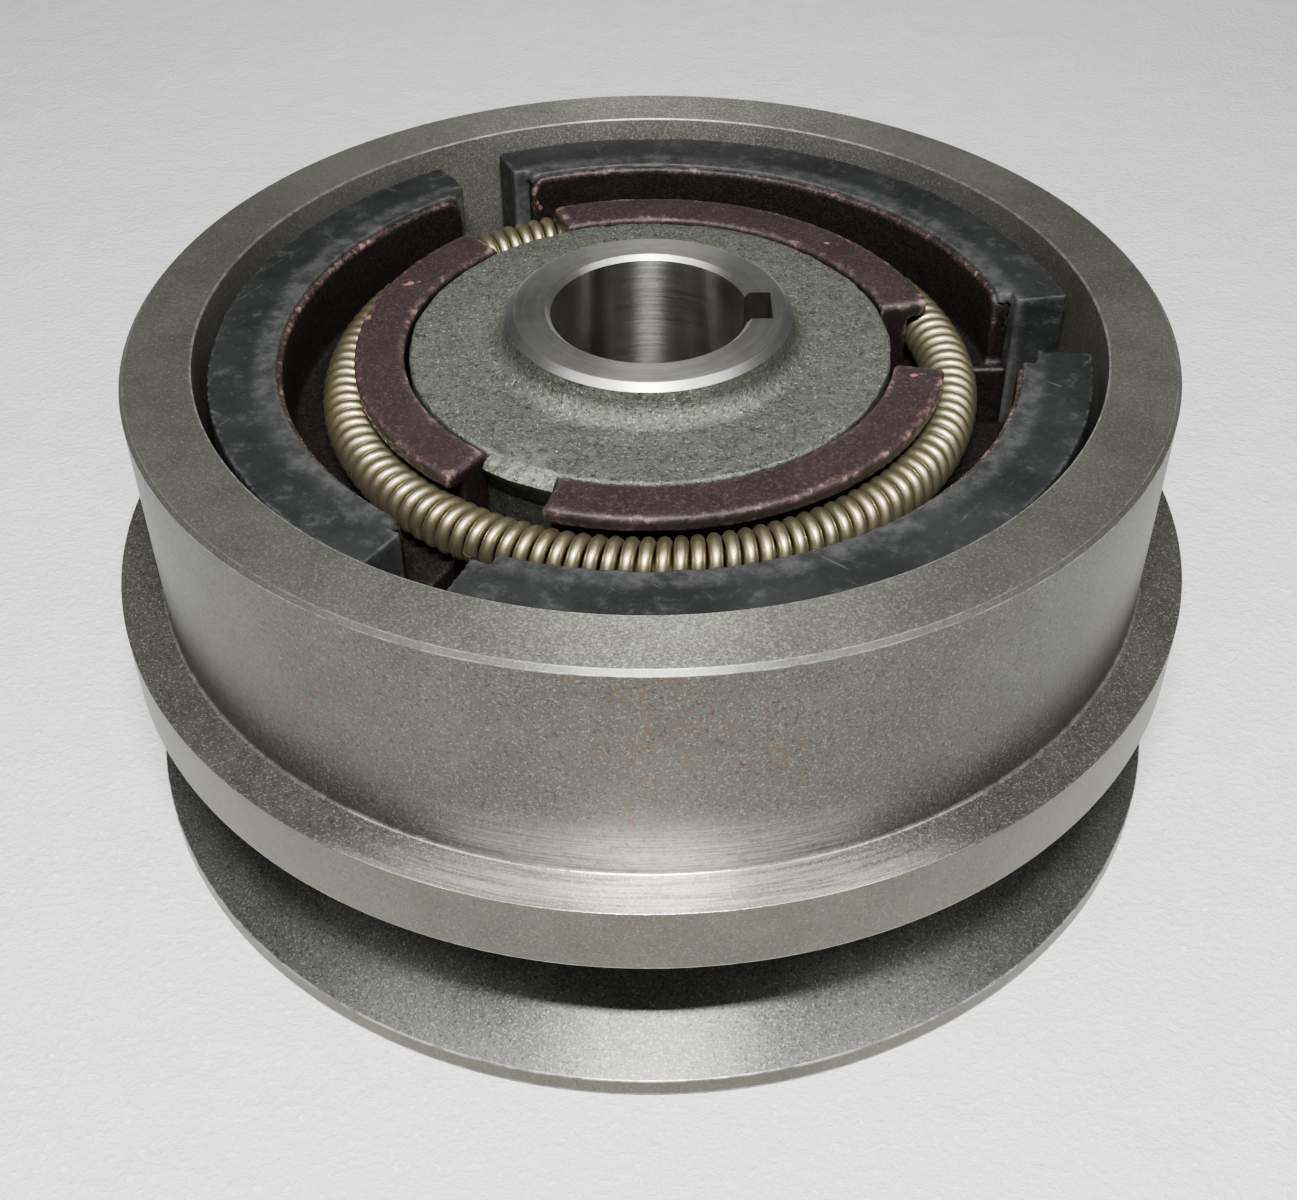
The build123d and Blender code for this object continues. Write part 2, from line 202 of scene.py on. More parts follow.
class Finishes(bpy.types.PropertyGroup):
    """Colours of the finishes."""

    iron: colour("Iron", "Turned cast iron", 0.135, 0.132, 0.118)
    rust: colour("Rust", "Specks of rust on the iron", 0.095, 0.055, 0.032)
    hub: colour("Hub", "Sand cast hub", 0.088, 0.092, 0.074)
    bright: colour("Bright steel", "Freshly turned metal", 0.62, 0.61, 0.58)
    paint: colour("Paint", "Primer on the shoes", 0.0100, 0.0062, 0.0060)
    chip: colour("Chip", "Paint rubbed light", 0.15, 0.095, 0.083)
    lining: colour("Lining", "Friction lining", 0.0052, 0.0055, 0.0056)
    dust: colour("Dust", "Dust rubbed into the lining", 0.034, 0.035, 0.034)
    wire: colour("Spring wire", "Plated spring wire", 0.34, 0.31, 0.18)
    # Painted shade down between the spring's coils.
    coil_shade: colour("Coil shade", "Painted shade between the coils", 0.045, 0.035, 0.022)
    rubber: colour("Rubber", "Bearing seals", 0.015, 0.015, 0.015)
    floor: colour("Floor", "Pale surface under the clutch", 0.72, 0.735, 0.715)
    air: colour("Surroundings", "Light from all sides", 0.93, 0.95, 0.93)
    tarnish: colour("Tarnish", "Brown stain on the spring wire", 0.42, 0.29, 0.19)
    glint: colour("Glint", "Pale flecks in the floor", 0.99, 0.99, 0.99)


class StageSizes(bpy.types.PropertyGroup):
    """Camera and lights."""

    reach: length("Camera reach", "From the rim's centre to the camera", 176.2)
    rise: angle("Camera rise", "Height angle of the camera", 31.46)
    pitch: angle("Camera pitch", "How far down it looks", 40.80)
    yaw: angle("Camera yaw", "How far left it looks", 0.13)
    roll: angle("Camera roll", "Tilt", -0.48)
    lens: FloatProperty(name="Lens", description="Focal length in millimetres", default=47.71)
    tube_rise: angle("Tube lamp", "Height angle of the tube lamp", 60.5)
    tube_power: power("Tube power", "Power of the tube lamp", 4.4)
    tube_width: length("Tube width", "Long side of the tube lamp", 95)
    tube_depth: length("Tube depth", "Short side of the tube lamp", 14)
    side_turn: angle("Side turn", "From the front round to each soft lamp", 55)
    side_power: power("Side power", "Power of each soft lamp", 0.55)
    side_size: length("Side size", "Side of each square soft lamp", 170)
    back_rise: angle("Back lamp", "Height angle of the lamp behind", 12)
    back_power: power("Back power", "Power of the lamp behind", 0.15)
    back_width: length("Back width", "Long side of the lamp behind", 300)
    back_depth: length("Back depth", "Short side of the lamp behind", 50)
    lamp_reach: length("Lamp reach", "From the floor's middle to the lamps", 360)
    floor_half: length("Floor", "Half of the floor's side", 1500)
    room: FloatProperty(name="Room", description="Strength of the surroundings", default=0.11)


# Outlines and meshes.


def corner(r, z, finish, rounding=0.0, shine=0.0):
    """Corner of an outline, with the finish of the stretch after it.

    The rounding is in millimetres, and shine is the wear on it.
    """
    return r, z, finish, rounding * MM, shine


def soften(corners, steps=5):
    """Dense closed outline, as (radius, height, finish, wear), from corners."""
    dense = []
    for i, (r, z, finish, rounding, shine) in enumerate(corners):
        before_finish = corners[i - 1][2]
        if rounding == 0:
            dense.append((r, z, finish, 0.0))
            continue
        here = np.array((r, z))
        before = np.array(corners[i - 1][:2]) - here
        after = np.array(corners[(i + 1) % len(corners)][:2]) - here
        d0 = before / np.linalg.norm(before)
        d1 = after / np.linalg.norm(after)
        half = np.arccos(np.clip(d0 @ d1, -1, 1)) / 2
        reach = rounding / tan(half)
        middle = here + (d0 + d1) / np.linalg.norm(d0 + d1) * rounding / sin(half)
        dense.append((*(here + d0 * (reach + EDGE_HOLD)), before_finish, 0.0))
        start = here + d0 * reach - middle
        end = here + d1 * reach - middle
        turn = pi - 2 * half
        for k in range(steps + 1):
            t = k / steps
            spoke = (start * sin((1 - t) * turn) + end * sin(t * turn)) / sin(turn)
            dense.append((*(middle + spoke), before_finish if t < 0.5 else finish, shine))
        dense.append((*(here + d1 * (reach + EDGE_HOLD)), finish, 0.0))
    return dense


def subdivide(dense, step, finishes):
    """Split the stretches with one of these finishes into runs no longer than step."""
    fine = []
    for i, (r, z, finish, wear) in enumerate(dense):
        fine.append((r, z, finish, wear))
        r2, z2 = dense[(i + 1) % len(dense)][:2]
        count = int(np.hypot(r2 - r, z2 - z) / step)
        if finish in finishes:
            for t in np.arange(1, count + 1) / (count + 1):
                fine.append((r + (r2 - r) * t, z + (z2 - z) * t, finish, 0.0))
    return fine


def configure(thing, **settings):
    """Set some of a thing's properties and return it."""
    for key, value in settings.items():
        setattr(thing, key, value)
    return thing


def add_object(name, data):
    """Object with this data in the scene."""
    added = bpy.data.objects.new(name, data)
    bpy.context.scene.collection.objects.link(added)
    return added


def new_piece(name, vertices, faces, materials, face_materials=None):
    """Smooth-shaded mesh object in the scene."""
    mesh = bpy.data.meshes.new(name)
    mesh.from_pydata([tuple(v) for v in vertices], [], faces)
    for material in materials:
        mesh.materials.append(material)
    if face_materials is not None:
        mesh.polygons.foreach_set("material_index", face_materials)
    mesh.validate()
    mesh.shade_smooth()
    return add_object(name, mesh)


def read_vertices(piece, field="co"):
    """Place or normal of every vertex, one row each."""
    values = np.zeros(len(piece.data.vertices) * 3)
    piece.data.vertices.foreach_get(field, values)
    return values.reshape(-1, 3)


def ramp(values, start, end):
    """Rise straight from 0 at start to 1 at end, and stay within them."""
    return np.clip((values - start) / (end - start), 0, 1)


def add_attribute(piece, name, values):
    """Number on every vertex, for the materials to read."""
    found = piece.data.attributes.get(name) or piece.data.attributes.new(name, "FLOAT", "POINT")
    found.data.foreach_set("value", np.asarray(values, np.float32))


def lathe(name, dense, materials, segments=360):
    """Closed ring turned about Z from a dense outline that runs anticlockwise."""
    n = len(dense)
    r, z, finish, wear = (np.array(column, float) for column in zip(*dense))
    turn = np.arange(segments) * 2 * pi / segments
    points = np.stack(
        [np.outer(np.cos(turn), r), np.outer(np.sin(turn), r), np.tile(z, (segments, 1))], -1
    ).reshape(-1, 3)
    i, j = np.meshgrid(np.arange(segments), np.arange(n), indexing="ij")
    i2, j2 = (i + 1) % segments, (j + 1) % n
    faces = np.stack([i * n + j, i2 * n + j, i2 * n + j2, i * n + j2], -1).reshape(-1, 4)
    piece = new_piece(
        name, points, faces.tolist(), materials, np.tile(finish.astype(int), segments)
    )
    add_attribute(piece, "wear", np.tile(wear, segments))
    return piece


def sweep(corners, span, drop=None, step=0.6):
    """Points and faces of a closed block of (radius, height) corners swept round Z.

    span(radius) gives the start and end angles in degrees, and drop(degrees from the nearer
    end) how far the top is lowered there.
    """
    n = len(corners)
    ends = [span(r) for r, z in corners]
    start, end = ends[0]
    count = max(2, int(abs(end - start) / step) + 1)
    top = max(z for r, z in corners)
    points = []
    for t in np.linspace(0, 1, count):
        for (r, z), (first, last) in zip(corners, ends):
            turn = radians(first + t * (last - first))
            fall = drop(min(t, 1 - t) * (last - first)) if drop and z == top else 0.0
            points.append((r * cos(turn), r * sin(turn), z - fall))
    faces = [tuple(range(n))[::-1], tuple(range((count - 1) * n, count * n))]
    for i in range(count - 1):
        for j in range(n):
            k = (j + 1) % n
            faces.append((i * n + j, (i + 1) * n + j, (i + 1) * n + k, i * n + k))
    return points, faces


def bar(inner, outer, bottom, top):
    """Rectangular outline for sweep()."""
    return [(inner, bottom), (outer, bottom), (outer, top), (inner, top)]


def radial(start, end):
    """Span of a block whose ends are radial."""
    return lambda r: (start, end)


def rounded_end(radius, rounding):
    """Drop that rounds the top at both ends of a block at that radius."""
    def drop(turn):
        short = rounding - min(rounding, radians(turn) * radius)
        return rounding - (rounding ** 2 - short ** 2) ** 0.5
    return drop


def join_shells(name, shells):
    """One object from several closed shells of points and faces."""
    points, faces = [], []
    for shell_points, shell_faces in shells:
        offset = len(points)
        points += shell_points
        faces += [tuple(index + offset for index in face) for face in shell_faces]
    piece = new_piece(name, points, faces, [])
    outward(piece)
    return piece


def outward(piece):
    """Turn every face of a closed mesh outwards."""
    work = bmesh.new()
    work.from_mesh(piece.data)
    bmesh.ops.recalc_face_normals(work, faces=work.faces)
    work.to_mesh(piece.data)
    work.free()


def settle(piece):
    """Apply the piece's modifiers to its mesh."""
    graph = bpy.context.evaluated_depsgraph_get()
    mesh = bpy.data.meshes.new_from_object(piece.evaluated_get(graph))
    piece.modifiers.clear()
    piece.data = mesh
    mesh.name = piece.name
    mesh.shade_smooth()


def centre_texture(piece):
    """Put the middle of the piece's texture space on the axis, so that its rings run round it."""
    piece.data.use_auto_texspace = False
    piece.data.texspace_location = (0, 0, 0)
    piece.data.texspace_size = (0.1, 0.1, 0.1)


def roughen(piece, grains, group=""):
    """Displace the surface, where the vertex group is, by clouds of each size and depth in millimetres."""
    for size, depth in grains:
        clouds = bpy.data.textures.new(f"clouds_{size:.2f}mm", "CLOUDS")
        configure(clouds, noise_scale=size * MM, noise_depth=1)
        grain = piece.modifiers.new("grain", "DISPLACE")
        configure(grain, texture=clouds, texture_coords="LOCAL", strength=depth * MM, mid_level=0.5)
        grain.vertex_group = group
    settle(piece)


def mark_wear(piece):
    """Attribute wear: 1 on outer edges and 0 on flats and in corners."""
    mesh = piece.data
    count = len(mesh.vertices)
    points = read_vertices(piece)
    edges = np.zeros(len(mesh.edges) * 2, int)
    mesh.edges.foreach_get("vertices", edges)
    a, b = edges.reshape(-1, 2).T
    share = np.bincount(a, minlength=count) + np.bincount(b, minlength=count)
    smooth = points.copy()
    for _ in range(WEAR_ROUNDS):
        total = np.zeros_like(smooth)
        for axis in range(3):
            total[:, axis] += np.bincount(a, smooth[b, axis], count)
            total[:, axis] += np.bincount(b, smooth[a, axis], count)
        smooth = 0.5 * smooth + 0.5 * total / share[:, None]
    height = ((points - smooth) * read_vertices(piece, "normal")).sum(1)
    add_attribute(piece, "wear", ramp(height, *WORN_HEIGHTS))


def cast_piece(name, shells, material, smooth, grains):
    """Casting or moulding of closed shells: even cells, rounded worn edges and a rough skin."""
    piece = join_shells(name, shells)
    configure(piece.modifiers.new("cells", "REMESH"), mode="VOXEL", voxel_size=CAST_CELL)
    configure(piece.modifiers.new("soft", "SMOOTH"), factor=0.5, iterations=smooth)
    roughen(piece, grains)
    mark_wear(piece)
    piece.data.materials.append(material)
    return piece


def cut(piece, tool, operation="DIFFERENCE"):
    """Boolean with a helper object, which is removed."""
    configure(piece.modifiers.new("cut", "BOOLEAN"), operation=operation, solver="EXACT", object=tool)
    settle(piece)
    bpy.data.objects.remove(tool)


def block(name, lo, hi, turn=0.0, like=None, finish=0):
    """Plain box between two corners, turned about Z, as a tool for cut().

    Its faces take that finish of the piece it is like.
    """
    work = bmesh.new()
    bmesh.ops.create_cube(work, size=1)
    lo, hi = Vector(lo), Vector(hi)
    size = hi - lo
    work.transform(Matrix.Diagonal((*size, 1)))
    work.transform(Matrix.Translation((lo + hi) / 2))
    work.transform(Matrix.Rotation(radians(turn), 4, "Z"))
    mesh = bpy.data.meshes.new(name)
    work.to_mesh(mesh)
    work.free()
    if like is not None:
        for material in like.data.materials:
            mesh.materials.append(material)
        mesh.polygons.foreach_set("material_index", [finish] * len(mesh.polygons))
    return add_object(name, mesh)


# Materials. Patterns read object coordinates, in metres.


def put(tree, socket, value):
    """Set a socket, or wire it to another."""
    if isinstance(value, bpy.types.NodeSocket):
        tree.links.new(value, socket)
    elif socket.type == "RGBA" and len(value) == 3:
        socket.default_value = (*value, 1)
    else:
        socket.default_value = value


def add_node(tree, kind, inputs=None, **settings):
    """New node with its settings, its inputs set to values or wired to sockets."""
    node = configure(tree.nodes.new(kind), **settings)
    for key, value in (inputs or {}).items():
        put(tree, node.inputs[key], value)
    return node


def toned(shade, factor):
    """A colour made darker or lighter."""
    return [min(1, c * factor) for c in shade]


def tinted(shade, tint):
    """A colour with each of its parts changed by its own factor."""
    return [c * t for c, t in zip(shade, tint)]


class Finish:
    """One material's node tree, with short calls to add and wire its nodes."""

    def __init__(self, name):
        self.material = bpy.data.materials.new(name)
        self.material.use_nodes = True
        self.tree = self.material.node_tree
        self.tree.nodes.clear()
        self.place = self.add("ShaderNodeTexCoord")["Object"]
        self.shader = add_node(self.tree, "ShaderNodeBsdfPrincipled")
        self.add("ShaderNodeOutputMaterial", {"Surface": self.shader.outputs["BSDF"]})
        self.colours = bpy.context.scene.clutch_finishes
        self.tone = None
        self.normal = None

    def add(self, kind, inputs=None, **settings):
        """Outputs of a new node."""
        return add_node(self.tree, kind, inputs, **settings).outputs

    def noise(self, size, place=None, detail=3.0, roughness=0.6):
        """Noise whose features are about size millimetres across."""
        inputs = {
            "Vector": place or self.place,
            "Scale": 1 / (size * MM),
            "Detail": detail,
            "Roughness": roughness,
        }
        return self.add("ShaderNodeTexNoise", inputs)["Fac"]

    def sand(self, size, place=None):
        """Harsh noise, as of sand or rust."""
        return self.noise(size, place, detail=4, roughness=0.8)

    def grade(self, value, start, end, low=0.0, high=1.0):
        """Map start..end smoothly to low..high."""
        inputs = {"Value": value, "From Min": start, "From Max": end, "To Min": low, "To Max": high}
        return self.add("ShaderNodeMapRange", inputs, interpolation_type="SMOOTHSTEP")["Result"]

    def math(self, operation, a, b=0.0):
        """Arithmetic on two values."""
        return self.add("ShaderNodeMath", {0: a, 1: b}, operation=operation)[0]

    def times(self, a, b):
        """Product of two values."""
        return self.math("MULTIPLY", a, b)

    def mix(self, amount, a, b):
        """Blend two colours."""
        return self.add("ShaderNodeMix", {"Factor": amount, 6: a, 7: b}, data_type="RGBA")[2]

    def over(self, amount, colour):
        """Blend a colour over the tone so far."""
        self.tone = self.mix(amount, self.tone, colour)

    def parts(self, place=None):
        """The three numbers of a place, by default in object coordinates."""
        return self.add("ShaderNodeSeparateXYZ", {0: place or self.place})

    def polar(self, spread=0.03):
        """Radius and height as coordinates, so that a pattern runs in rings round the axis."""
        x, y, z = self.parts()
        flat = self.add("ShaderNodeCombineXYZ", {0: x, 1: y})[0]
        radius = self.add("ShaderNodeVectorMath", {0: flat}, operation="LENGTH")["Value"]
        drift = self.times(self.math("ADD", x, y), spread)
        return self.add("ShaderNodeCombineXYZ", {0: radius, 1: z, 2: drift})[0]

    def height(self, value, depth):
        """Add a bump of that depth in millimetres."""
        inputs = {"Height": value, "Distance": depth * MM, "Strength": 1.0}
        if self.normal is not None:
            inputs["Normal"] = self.normal
        self.normal = self.add("ShaderNodeBump", inputs)["Normal"]

    def attribute(self, name):
        """A number that the piece holds on its own vertices."""
        return self.add("ShaderNodeAttribute", attribute_name=name)["Fac"]

    def brushed(self, amount):
        """Stretch highlights across rings that run round the axis."""
        tangent = self.add("ShaderNodeTangent", direction_type="RADIAL", axis="Z")[0]
        put(self.tree, self.shader.inputs["Tangent"], tangent)
        self.shader.inputs["Anisotropic"].default_value = amount
        self.shader.inputs["Anisotropic Rotation"].default_value = 0.25

    def done(self, roughness, metallic=0.0, **constants):
        """Wire the shader and return the material."""
        inputs = {"Base Color": self.tone, "Roughness": roughness, "Metallic": metallic}
        for key, value in constants.items():
            inputs[key.replace("_", " ")] = value
        if self.normal is not None:
            inputs["Normal"] = self.normal
        for key, value in inputs.items():
            put(self.tree, self.shader.inputs[key], value)
        return self.material


def turned_iron(
    name, shade=1.0, rust=0.5, rings=0.006, grain=0.5, rough=0.4, brush=0.5, tint=(1, 1, 1), painted_highlight=0.0
):
    """Cast iron as turned or ground: sandy grain, fine tool rings, specks of rust, bright edges.

    painted_highlight is how strong the painted highlight and painted reflection are on the low front of the
    drum and its flange.
    """
    m = Finish(name)
    base = tinted(toned(m.colours.iron, shade), tint)
    speck = m.noise(0.24, roughness=0.75)
    patch = m.noise(9)
    broad = m.noise(26, detail=2)
    lines = m.noise(0.25, m.polar(), roughness=0.7)
    m.tone = m.mix(m.grade(patch, 0.3, 0.7), toned(base, 0.85), toned(base, 1.12))
    m.over(m.grade(speck, 0.53, 0.66, 0, grain), toned(base, 3))
    pits = m.sand(0.38)
    m.over(m.grade(pits, 0.52, 0.64, 0, grain), toned(base, 0.3))
    _, y, z = m.parts()
    # Painted highlight and painted reflection: a mottled bright patch on the low front of the drum and its
    # flange, for the lamp's highlight on the flange top and its reflection in the drum's side.
    front = m.times(m.grade(y, *PAINTED_HIGHLIGHT_FRONT), m.grade(z, *PAINTED_HIGHLIGHT_LOW))
    mottle = m.grade(m.sand(0.3, m.polar()), 0.38, 0.6, 0.25, 1)
    rubbed = m.times(m.times(front, painted_highlight), mottle)
    m.over(rubbed, m.colours.bright)
    rusty = m.grade(m.sand(0.55), 0.5, 0.64)
    rusty = m.times(rusty, m.grade(broad, 0.42, 0.62, 0.3 * rust, rust))
    m.over(rusty, m.colours.rust)
    edge = m.times(m.attribute("wear"), m.grade(m.noise(1.5), 0.4, 0.6, 0.25, 0.95))
    m.over(edge, m.colours.bright)
    m.height(speck, 0.014 * grain)
    m.height(lines, rings)
    gloss = m.grade(speck, 0.3, 0.7, rough - 0.08, rough + 0.1)
    gloss = m.math("SUBTRACT", gloss, m.times(edge, 0.12))
    m.brushed(brush)
    return m.done(gloss, metallic=0.8)


def cast_hub():
    """Sand cast grey iron: fine greenish grain with glints, rubbed bright at the gate's stub, with painted
    shade down its side under the disc's face.
    """
    m = Finish("cast_hub")
    sizes = bpy.context.scene.clutch_hub
    top = sizes.disc_z - 0.8 * MM
    base = m.colours.hub
    grain = m.sand(0.34)
    coarse = m.noise(1.3)
    patch = m.noise(7, detail=2)
    m.tone = m.mix(m.grade(coarse, 0.35, 0.65), toned(base, 0.8), toned(base, 1.1))
    m.over(m.grade(patch, 0.35, 0.65, 0, 0.3), toned(base, 1.2))
    glint = m.grade(grain, 0.56, 0.68)
    m.over(m.times(glint, 0.9), toned(base, 5.5))
    pit = m.grade(m.noise(0.42, detail=4, roughness=0.75), 0.52, 0.62, 0, 0.85)
    m.over(pit, toned(base, 0.2))
    stub_r = sizes.gate_r - 1 * MM
    stub = (stub_r * cos(sizes.gate_turn), stub_r * sin(sizes.gate_turn), sizes.disc_z)
    away = m.add("ShaderNodeVectorMath", {0: m.place, 1: stub}, operation="DISTANCE")["Value"]
    rubbed = m.times(m.grade(away, 5 * MM, 2 * MM), m.grade(coarse, 0.42, 0.55))
    m.over(m.times(rubbed, 0.35), toned(base, 2.4))
    # Painted shade: everything lower than just under the disc's face is darkened, where the disc shades the
    # hub's side.
    low = m.grade(m.parts()[2], top, top - 1.5 * MM, 0, 0.7)
    m.over(low, toned(base, 0.15))
    m.height(coarse, 0.10)
    m.height(grain, 0.16)
    return m.done(m.grade(grain, 0.3, 0.7, 0.55, 0.3), metallic=0.75)


def bright_turned(name, rings, shade, rough, brush):
    """Freshly turned bright metal: fine rings stretch its highlights across them."""
    m = Finish(name)
    base = toned(m.colours.bright, shade)
    lines = m.noise(0.16, m.polar(0.01), detail=4, roughness=0.75)
    smear = m.noise(5, detail=4)
    m.tone = m.mix(m.grade(smear, 0.35, 0.7), base, toned(base, 0.72))
    m.over(m.grade(lines, 0.45, 0.75, 0, 0.35), toned(base, 1.35))
    m.height(lines, rings)
    m.height(m.noise(0.35), 0.004)
    m.brushed(brush)
    return m.done(m.grade(lines, 0.3, 0.7, rough, rough + 0.05), metallic=1.0)


def shoe_paint():
    """Purple-brown primer over a rough casting, rubbed light on its edges, with painted shade in the channel
    and down the sides below the rib's top.
    """
    m = Finish("shoe_paint")
    sizes = bpy.context.scene.clutch_shoes
    base = m.colours.paint
    height = m.parts()[2]
    deep = m.grade(height, sizes.floor_z, sizes.rib_z)
    grain = m.sand(0.35)
    patch = m.noise(4, detail=4)
    radius = m.parts(m.polar())[0]
    # Painted shade: darker outside the rib's lip, over the channel's floor and walls.
    channel = m.grade(radius, sizes.lip_r, sizes.lip_r + 0.5 * MM)
    m.tone = m.mix(channel, base, tinted(base, (0.3, 0.3, 0.28)))
    m.over(m.grade(patch, 0.35, 0.7, 0, 0.5), toned(base, 1.6))
    m.over(m.grade(grain, 0.52, 0.64, 0, 0.7), toned(base, 3.6))
    # Painted shade: darker everywhere below the rib's top, over the shoe's sides.
    side = m.grade(height, sizes.rib_z - 0.3 * MM, sizes.rib_z - 0.9 * MM, 0, 0.85)
    m.over(side, toned(base, 0.25))
    rub = m.times(m.attribute("wear"), m.grade(m.noise(1.0, detail=4), 0.5, 0.64, 0.12, 1))
    rub = m.times(rub, m.grade(m.noise(6, detail=2), 0.45, 0.6, 0.2, 0.8))
    m.over(m.times(rub, deep), m.colours.chip)
    chips = m.grade(m.noise(3.0, detail=2, roughness=0.4), 0.745, 0.765)
    pink = tinted(m.colours.chip, (0.9, 0.62, 0.62))
    m.over(m.times(chips, deep), pink)
    m.height(patch, 0.08)
    m.height(grain, 0.08)
    gloss = m.grade(grain, 0.3, 0.7, 0.34, 0.55)
    return m.done(gloss, Specular_IOR_Level=0.22)


def lining_finish():
    """Moulded friction lining: near black, scratched, with dust rubbed into it."""
    m = Finish("lining")
    sizes = bpy.context.scene.clutch_shoes
    base = m.colours.lining
    grain = m.sand(0.3)
    smear = m.noise(2.6, detail=6, roughness=0.75)
    patch = m.noise(11)
    m.tone = m.mix(m.grade(patch, 0.35, 0.7), toned(base, 0.8), toned(base, 1.7))
    m.over(m.grade(smear, 0.52, 0.7, 0, 0.4), m.colours.dust)
    radius = m.parts(m.polar())[0]
    inner = m.grade(radius, sizes.outer_r + 1.5 * MM, sizes.outer_r, 0, 0.55)
    m.over(m.times(inner, m.grade(smear, 0.4, 0.6, 0.3, 1)), m.colours.dust)
    for turn, width in ((35, 0.5), (-50, 0.7)):
        turned = m.add("ShaderNodeMapping", {"Vector": m.place, "Rotation": (0, 0, radians(turn))})[0]
        along = m.add("ShaderNodeMapping", {"Vector": turned, "Scale": (1.0, 0.07, 1.0)})[0]
        scratch = m.sand(width, along)
        m.over(m.grade(scratch, 0.64, 0.72, 0, 0.55), toned(m.colours.dust, 1.2))
        m.height(scratch, 0.02)
    m.over(m.grade(grain, 0.58, 0.72, 0, 0.5), toned(base, 4))
    rub = m.times(m.attribute("wear"), m.grade(m.noise(1.5, detail=4), 0.4, 0.62, 0, 0.6))
    m.over(rub, m.colours.dust)
    m.height(grain, 0.05)
    return m.done(m.grade(smear, 0.3, 0.7, 0.45, 0.62), Specular_IOR_Level=0.22)


def spring_wire():
    """Plated drawn wire: pale brassy steel, with painted shade down between the coils."""
    m = Finish("spring_wire")
    hollow = m.attribute("hollow")
    stain = m.noise(2.5, detail=4)
    fine = m.noise(0.3)
    m.tone = m.mix(m.grade(stain, 0.35, 0.7), m.colours.wire, toned(m.colours.wire, 0.72))
    m.over(m.grade(m.noise(7, detail=2), 0.5, 0.7, 0, 0.35), m.colours.tarnish)
    # Painted shade on the inside of the tube, down between the coils.
    m.over(m.times(hollow, 0.9), m.colours.coil_shade)
    m.height(fine, 0.012)
    gloss = m.grade(stain, 0.3, 0.7, 0.28, 0.4)
    return m.done(m.math("ADD", gloss, m.times(hollow, 0.3)), metallic=0.95)


def ground_steel(name, shade, rough=0.28, metallic=1.0):
    """Ground or pressed steel with fine rings and faint stains."""
    m = Finish(name)
    lines = m.noise(0.2, m.polar(0.01), roughness=0.7)
    stain = m.noise(3, detail=4)
    m.tone = m.mix(m.grade(stain, 0.35, 0.7), shade, toned(shade, 0.7))
    m.height(lines, 0.004)
    return m.done(m.grade(lines, 0.3, 0.7, rough, rough + 0.12), metallic=metallic)


def seal_rubber():
    """Moulded seal rubber with a faint bloom."""
    m = Finish("seal_rubber")
    bloom = m.noise(4, detail=4)
    grain = m.noise(0.3)
    m.tone = m.mix(m.grade(bloom, 0.4, 0.7), m.colours.rubber, toned(m.colours.rubber, 3))
    m.height(grain, 0.02)
    return m.done(m.grade(bloom, 0.3, 0.7, 0.45, 0.62))


def floor_finish():
    """Pale foamy surface with a soft fine relief and small glints."""
    m = Finish("floor")
    base = m.colours.floor
    grain = m.noise(0.9, detail=4, roughness=0.75)
    soft = m.noise(6)
    m.tone = m.mix(m.grade(soft, 0.3, 0.7), toned(base, 0.97), toned(base, 1.03))
    glint = m.grade(grain, 0.58, 0.64)
    m.over(m.times(glint, 0.9), m.colours.glint)
    m.height(soft, 0.5)
    m.height(grain, 0.7)
    return m.done(m.grade(grain, 0.5, 0.7, 0.45, 0.15))


# The pieces.


def clip_groove(node, land_r, groove_r, finish):
    """Corners of a circlip's groove, from its lower edge to its upper one."""
    top = high(node).z
    bottom = low(node).z - CLIP_PLAY
    return [
        corner(land_r, bottom, finish),
        corner(groove_r, bottom, finish),
        corner(groove_r, top, finish),
        corner(land_r, top, finish),
    ]


def drum_corners(s):
    """Outline of the casting, anticlockwise."""
    under, edge, groove, flange, side, rim, inside = range(7)
    root_r = s.pulley_r - s.groove_depth
    rise = s.groove_depth * tan(s.flank)
    return [
        corner(s.relief_inner, 0, under, 0.2),
        corner(s.relief_inner + s.relief_depth, s.relief_depth, under, 0.3),
        corner(s.relief_outer - s.relief_depth, s.relief_depth, under, 0.3),
        corner(s.relief_outer, 0, under, 0.2),
        corner(s.pulley_r, 0, edge, 0.45, 0.3),
        corner(s.pulley_r, s.groove_bottom, groove, 0.16, 0.5),
        corner(root_r, s.groove_bottom + rise, groove, 1.0),
        corner(root_r, s.groove_top - rise, groove, 1.0),
        corner(s.pulley_r, s.groove_top, edge, 0.2, 0.3),
        corner(s.pulley_r, s.flange_z, flange, 0.12, 0.05),
        corner(s.drum_r, s.flange_z, side, 0.3, 0.2),
        corner(s.drum_r, s.rim_z - s.rim_chamfer, rim, 0.1, 0.35),
        corner(s.drum_r - s.rim_chamfer, s.rim_z, rim, 0.1, 0.2),
        corner(s.bore_r, s.rim_z, inside, 0.2, 0.25),
        corner(s.bore_r, s.floor_z, inside, 1.5),
        corner(s.shoulder_r, s.floor_z, inside, 0.3),
        corner(s.shoulder_r, s.shoulder_z, under),
        corner(s.housing_r, s.shoulder_z, under),
        *reversed(clip_groove("internal_circlip", s.housing_r, s.clip_r, under)),
        corner(s.housing_r, 0, under, 0.5, 0.3),
    ]


